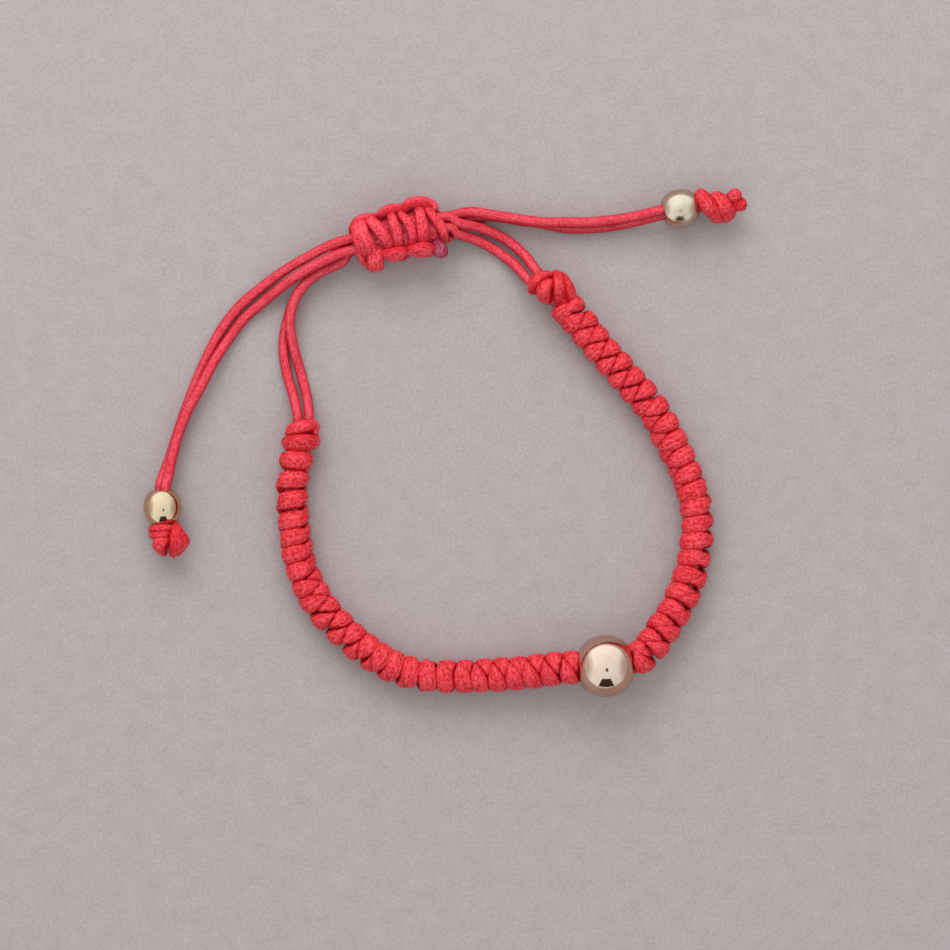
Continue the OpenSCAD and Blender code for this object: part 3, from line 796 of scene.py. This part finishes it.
KNOB = [
    [(-15.3, 25.6, 3.6, 0.8, 0.5), (-15.2, 24.9, 4.0, 0.95, 0.6), (-15.2, 24.1, 3.9, 1.1, 0.7),
     (-15.2, 23.4, 3.4, 1.16, 0.76), (-15.2, 23.05, 2.6, 1.12, 0.76), (-15.2, 23.3, 1.6, 1.0, 0.66),
     (-15.2, 24.2, 1.0, 0.8, 0.5)],
    [(-17.5, 25.5, 3.2, 0.4, 0.4), (-17.3, 24.9, 3.3, 0.5, 0.5), (-16.9, 24.2, 3.1, 0.55, 0.55),
     (-16.5, 23.6, 2.6, 0.55, 0.55), (-16.1, 23.3, 2.0, 0.5, 0.5)]]

# %% Sliding knot from its lobes
FILL_BACK, FILL_ON = 5.0, 4.9
FILL_WIDE, FILL_THICK, FILL_SQUARENESS = 2.4, 1.4, 2.2
SLIDE_BRAID_SHIFT = 1.7

slide_tubes = [slide_lobe(rows, under, start_u=SLIDE_BRAID_SHIFT * i)
               for i, rows in enumerate(BARS + LOOPS) for under in (False, True)]
slide_tubes += [slide_lobe(rows) for rows in KNOB]
slide_middle = smooth_line([SLIDE_AT - FILL_BACK * SLIDE_RUN, SLIDE_AT,
                            SLIDE_AT + FILL_ON * SLIDE_RUN], LOBE_STEPS)
slide_tubes.append(tube(slide_middle, level_frame(slide_middle)[2], FILL_WIDE, FILL_THICK,
                        FILL_SQUARENESS))
slide_knot = cord_piece("slide_knot_cords", slide_tubes, pink_cord)
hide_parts("slide_knot")
CUT_END = [
    (-7.3, 26.5, 3.2, 0.5, 0.5), (-7.2, 26.0, 3.6, 0.82, 0.7), (-7.0, 25.4, 3.9, 1.0, 0.86),
    (-6.85, 24.8, 3.9, 0.98, 0.86), (-6.85, 24.4, 3.7, 0.76, 0.7), (-6.85, 24.2, 3.6, 0.38, 0.38)]
FAR_BELOW = (-7.0, 25.4, -20.0)
cord_piece("slide_knot_cut_end", [lobe(CUT_END, FAR_BELOW)], singed_cord)

# %% [markdown]
# Each run ends in a stop knot, and each pull end in a knot that keeps its bead on. All four are
# pulled tight, so they show as two to four fat lobes of doubled cord that dive under each
# other. The cord's whole way through a knot could be drawn, but most of it is squeezed out of
# sight, so only the lobes that show are. Each is a tube whose points carry their own width and
# thickness, and the last tube of each knot is a plain filling that closes the gaps between the
# lobes.

# %% Start knots
KNOT_BRAID_SHIFT = 2.1


def small_knot(node, centre, lobes):
    """A tight knot made of a few lobes that face away from a centre."""
    tubes = [lobe(rows, centre, start_u=KNOT_BRAID_SHIFT * i) for i, rows in enumerate(lobes)]
    piece = cord_piece(node + "_cords", tubes, coral_cord)
    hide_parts(node)
    return piece


small_knot("start_knot_left", (-24.6, 1.5, 2.3), [
    [(-26.1, 1.6, 1.2, 0.6, 0.45), (-26.3, 1.8, 2.2, 0.76, 0.55), (-26.0, 2.1, 3.3, 0.88, 0.62),
     (-25.1, 2.4, 4.0, 0.92, 0.66), (-24.1, 2.65, 4.05, 0.92, 0.66), (-23.3, 2.8, 3.5, 0.88, 0.62),
     (-22.95, 2.7, 2.5, 0.8, 0.55), (-23.3, 2.5, 1.4, 0.65, 0.45)],
    [(-23.1, 3.2, 3.2, 0.4, 0.4), (-22.95, 2.7, 3.4, 0.52, 0.48), (-22.95, 2.0, 3.35, 0.56, 0.5),
     (-22.95, 1.3, 2.9, 0.5, 0.5), (-22.95, 0.9, 2.2, 0.45, 0.45)],
    [(-26.4, 0.1, 1.0, 0.75, 0.5), (-26.6, 0.15, 2.0, 0.95, 0.58), (-26.2, 0.35, 3.2, 1.1, 0.66),
     (-25.2, 0.52, 3.95, 1.18, 0.7), (-24.1, 0.6, 3.9, 1.16, 0.7), (-23.2, 0.52, 3.1, 1.02, 0.66),
     (-22.95, 0.4, 2.0, 0.9, 0.58), (-23.3, 0.35, 1.0, 0.7, 0.5)],
    [(-25.3, -1.5, 2.3, 1.6, 1.4), (-24.8, 0.6, 2.3, 1.8, 1.5), (-24.5, 2.6, 2.3, 1.5, 1.2)]])

small_knot("start_knot_right", (7.2, 20.2, 2.6), [
    [(7.6, 21.6, 3.6, 0.35, 0.4), (7.1, 21.95, 4.0, 0.46, 0.48), (6.3, 21.8, 4.3, 0.66, 0.58),
     (5.5, 21.3, 4.3, 0.86, 0.64), (4.95, 20.7, 3.8, 0.88, 0.64), (4.85, 20.2, 2.8, 0.74, 0.6),
     (5.2, 20.1, 1.6, 0.6, 0.5)],
    [(7.5, 21.0, 3.8, 0.5, 0.5), (6.9, 20.8, 4.4, 0.8, 0.62), (6.4, 20.2, 4.6, 1.0, 0.7),
     (6.35, 19.5, 4.2, 1.05, 0.72), (6.5, 18.95, 3.3, 0.95, 0.66), (6.7, 18.8, 2.2, 0.8, 0.56),
     (7.0, 19.1, 1.3, 0.6, 0.5)],
    [(7.9, 22.1, 2.4, 0.5, 0.5), (8.0, 22.0, 3.5, 0.6, 0.58), (8.15, 21.3, 4.4, 0.74, 0.64),
     (8.25, 20.4, 4.6, 0.82, 0.66), (8.3, 19.5, 4.2, 0.84, 0.64), (8.4, 18.8, 3.4, 0.8, 0.6),
     (8.4, 18.4, 2.4, 0.6, 0.5)],
    [(8.6, 22.0, 1.6, 0.5, 0.5), (8.85, 21.7, 2.8, 0.66, 0.58), (9.25, 21.0, 3.7, 0.78, 0.64),
     (9.6, 20.2, 4.0, 0.84, 0.66), (9.85, 19.4, 3.7, 0.84, 0.64), (9.9, 18.8, 3.0, 0.7, 0.56),
     (9.7, 18.5, 2.0, 0.5, 0.5)],
    [(5.9, 21.0, 2.5, 0.9, 0.9), (7.3, 20.2, 2.5, 1.4, 1.3), (8.6, 19.0, 2.5, 1.5, 1.4),
     (9.5, 17.9, 2.5, 1.3, 1.3)]])

# %% End knots
end_knot_left = small_knot("end_knot_left", (-41.5, -11.9, 2.2), [
    [(-43.5, -10.6, 1.0, 0.45, 0.4), (-43.9, -10.6, 2.0, 0.5, 0.5),
     (-43.6, -10.55, 3.2, 0.52, 0.55), (-42.7, -10.5, 3.9, 0.54, 0.56),
     (-41.7, -10.5, 3.8, 0.52, 0.55), (-41.1, -10.7, 3.0, 0.45, 0.5)],
    [(-43.4, -11.3, 1.0, 0.45, 0.4), (-43.8, -11.35, 2.0, 0.5, 0.5),
     (-43.5, -11.35, 3.2, 0.52, 0.56), (-42.7, -11.3, 3.95, 0.52, 0.58),
     (-41.9, -11.25, 3.8, 0.5, 0.55), (-41.4, -11.2, 3.0, 0.45, 0.5)],
    [(-41.6, -11.7, 3.3, 0.55, 0.5), (-42.2, -12.0, 3.9, 0.76, 0.6),
     (-42.7, -12.4, 3.95, 0.98, 0.66), (-42.85, -12.9, 3.3, 1.12, 0.68),
     (-42.75, -13.2, 2.3, 1.1, 0.66), (-42.6, -13.1, 1.3, 0.8, 0.5)],
    [(-40.95, -10.0, 1.4, 0.35, 0.4), (-40.85, -10.0, 2.6, 0.5, 0.5),
     (-40.6, -10.7, 3.6, 0.85, 0.6), (-40.35, -11.5, 4.1, 1.25, 0.68),
     (-40.25, -12.3, 3.8, 1.55, 0.72), (-40.3, -13.0, 2.9, 1.62, 0.72),
     (-40.4, -13.1, 1.8, 1.3, 0.6)],
    [(-42.3, -10.7, 2.2, 1.0, 1.1), (-41.7, -11.8, 2.2, 1.5, 1.3), (-41.6, -13.1, 2.2, 1.1, 0.9)]])

end_knot_right = small_knot("end_knot_right", (29.0, 30.9, 2.4), [
    [(26.3, 32.0, 1.2, 0.7, 0.5), (26.2, 32.2, 2.4, 0.92, 0.6), (26.6, 31.8, 3.5, 1.1, 0.68),
     (27.3, 30.9, 4.05, 1.18, 0.7), (28.0, 30.0, 3.7, 1.2, 0.7), (28.6, 29.35, 2.6, 1.16, 0.66),
     (28.6, 29.2, 1.4, 0.9, 0.5)],
    [(28.3, 32.0, 1.2, 0.6, 0.5), (28.3, 32.1, 2.4, 0.84, 0.6), (28.7, 31.7, 3.4, 1.0, 0.66),
     (29.2, 30.9, 3.95, 1.1, 0.68), (29.8, 30.1, 3.5, 1.12, 0.66), (30.2, 29.6, 2.4, 1.05, 0.62),
     (30.1, 29.5, 1.3, 0.8, 0.5)],
    [(29.6, 31.4, 2.6, 0.6, 0.6), (30.3, 31.8, 3.0, 0.8, 0.74), (30.9, 32.2, 3.1, 0.86, 0.8),
     (31.3, 32.45, 3.05, 0.7, 0.66), (31.45, 32.55, 3.0, 0.35, 0.35)],
    [(30.2, 30.5, 2.4, 0.6, 0.6), (31.0, 30.8, 2.7, 0.84, 0.76), (31.7, 31.05, 2.7, 0.92, 0.84),
     (32.1, 31.15, 2.65, 0.72, 0.7), (32.3, 31.2, 2.6, 0.38, 0.38)],
    [(27.2, 30.9, 2.4, 1.0, 1.0), (28.6, 30.8, 2.4, 1.5, 1.4), (30.2, 31.0, 2.4, 1.1, 1.0)]])

# %% [markdown]
# The strands are free cords. The loop below only looks up each strand's line again.

for name, piece in strands.items():
    line = strand_lines[name]
print("declared", len(strands), "free cords")

# %% [markdown]
# The bracelet lies on pale paper with fine fibres in it. Most are finer than a pixel, so the
# floor is a plain sheet whose colour and relief come from noise at two scales, with a few dark
# specks.

# %% Paper floor
FLOOR_HALF = 3.0
FIBRE_SCALE, CLOUD_SCALE, SPECK_SCALE = 2600.0, 420.0, 2300.0
FIBRE_BUMP = 0.00004
floor_mesh = bpy.data.meshes.new("floor")
floor_mesh.from_pydata([(x * FLOOR_HALF, y * FLOOR_HALF, 0)
                        for x, y in ((-1, -1), (1, -1), (1, 1), (-1, 1))], [], [(0, 1, 2, 3)])
floor = put_in_scene("floor", floor_mesh)

paper, paper_shader, n = new_material("paper")
place = n.add("ShaderNodeTexCoord").outputs["Object"]
fibres = n.noise(place, FIBRE_SCALE, 3.0, 0.7)
clouds = n.noise(place, CLOUD_SCALE, 4.0, 0.6)
mottle = n.math("MULTIPLY_ADD", fibres, 0.7, n.math("MULTIPLY", clouds, 0.3))
specks = n.span(n.noise(place, SPECK_SCALE, 1.0, 0.5), 0.16, 0.22)
sheet_colour = n.mix(n.span(mottle, 0.34, 0.66), srgb(149, 139, 139), srgb(167, 157, 157))
n.put(n.mix(specks, srgb(134, 124, 124), sheet_colour), paper_shader.inputs["Base Color"])
paper_shader.inputs["Roughness"].default_value = 0.5
paper_shader.inputs["Specular IOR Level"].default_value = 0.2
n.put(n.bump(n.math("MULTIPLY", fibres, FIBRE_BUMP)), paper_shader.inputs["Normal"])
floor_mesh.materials.append(paper)
print("floor is", 2 * FLOOR_HALF, "m wide")

# %% [markdown]
# The light is that of a pale room with a big soft window beyond the top of the picture. The
# room is brightest overhead and dimmer at the left and right ends, which gives the polished
# bead its tall white oval. Mirrors see the room brighter than matt things do, as they would see
# the lamps in it, so the wax and the metal get their shine and the paper isn't washed out. The
# window is an area light that mirrors don't see, because the bead would show it as a hard
# square. Two dim cards, one low in front and one behind the camera, are what the beads mirror
# as dark spots.

# %% Light of the room
ROOM_STRENGTH, ROOM_MIRRORED = 1.05, 2.3
world = bpy.data.worlds.new("room")
world.use_nodes = True
bpy.context.scene.world = world
n = Nodes(world.node_tree)
background = world.node_tree.nodes["Background"]
to_x, to_y, to_z = n.split(n.add("ShaderNodeTexCoord").outputs["Generated"])
above = n.span(to_z, -0.02, 0.12)
ends = n.span(n.math("ABSOLUTE", to_x), 0.7, 0.93, 1.0, 0.34)
room = n.math("MULTIPLY", above, ends)
tilt = n.math("MULTIPLY_ADD", to_x, -0.5, n.math("MULTIPLY", to_y, 0.6))
mirrored = n.add("ShaderNodeLightPath").outputs["Is Glossy Ray"]
mirror_sky = n.mix(n.span(tilt, -0.7, 0.7), srgb(174, 200, 212), srgb(212, 242, 255))
sky = n.mix(mirrored, srgb(255, 254, 254), mirror_sky)
n.put(n.mix(room, srgb(112, 96, 88), sky), background.inputs["Color"])
n.put(n.span(mirrored, 0.0, 1.0, ROOM_STRENGTH, ROOM_MIRRORED), background.inputs["Strength"])

# %% Window and dark cards
WINDOW_SIDES, WINDOW_WATTS = (0.42, 0.3), 1.95
window_data = bpy.data.lights.new("window", "AREA")
window_data.shape = "RECTANGLE"
window_data.size, window_data.size_y = WINDOW_SIDES
window_data.energy = WINDOW_WATTS
window = put_in_scene("window", window_data)
window.location = (-0.08, 0.4, 0.34)
window.rotation_euler = (math.radians(-50), 0, math.radians(11))
window.visible_glossy = False


def card(name, corners, colour):
    """A dark sheet that only mirrors see. It hides nothing from the camera and has no shadow."""
    mesh = bpy.data.meshes.new(name)
    mesh.from_pydata(corners, [], [(0, 1, 2, 3)])
    sheet = put_in_scene(name, mesh)
    dark, shader, _ = new_material(name)
    shader.inputs["Base Color"].default_value = colour
    mesh.materials.append(dark)
    sheet.visible_camera = sheet.visible_diffuse = sheet.visible_shadow = False


card("front_card",
     [(-0.26, -0.75, 0.10), (0.34, -0.75, 0.10), (0.24, -0.6, 0.56), (-0.16, -0.6, 0.56)],
     srgb(66, 46, 30))
card("camera_card",
     [(0.0, -0.2, 0.53), (0.09, -0.2, 0.53), (0.09, -0.08, 0.53), (0.0, -0.08, 0.53)],
     srgb(150, 140, 120))

bpy.context.scene.view_settings.view_transform = "Standard"
print("light: room, window and two cards")
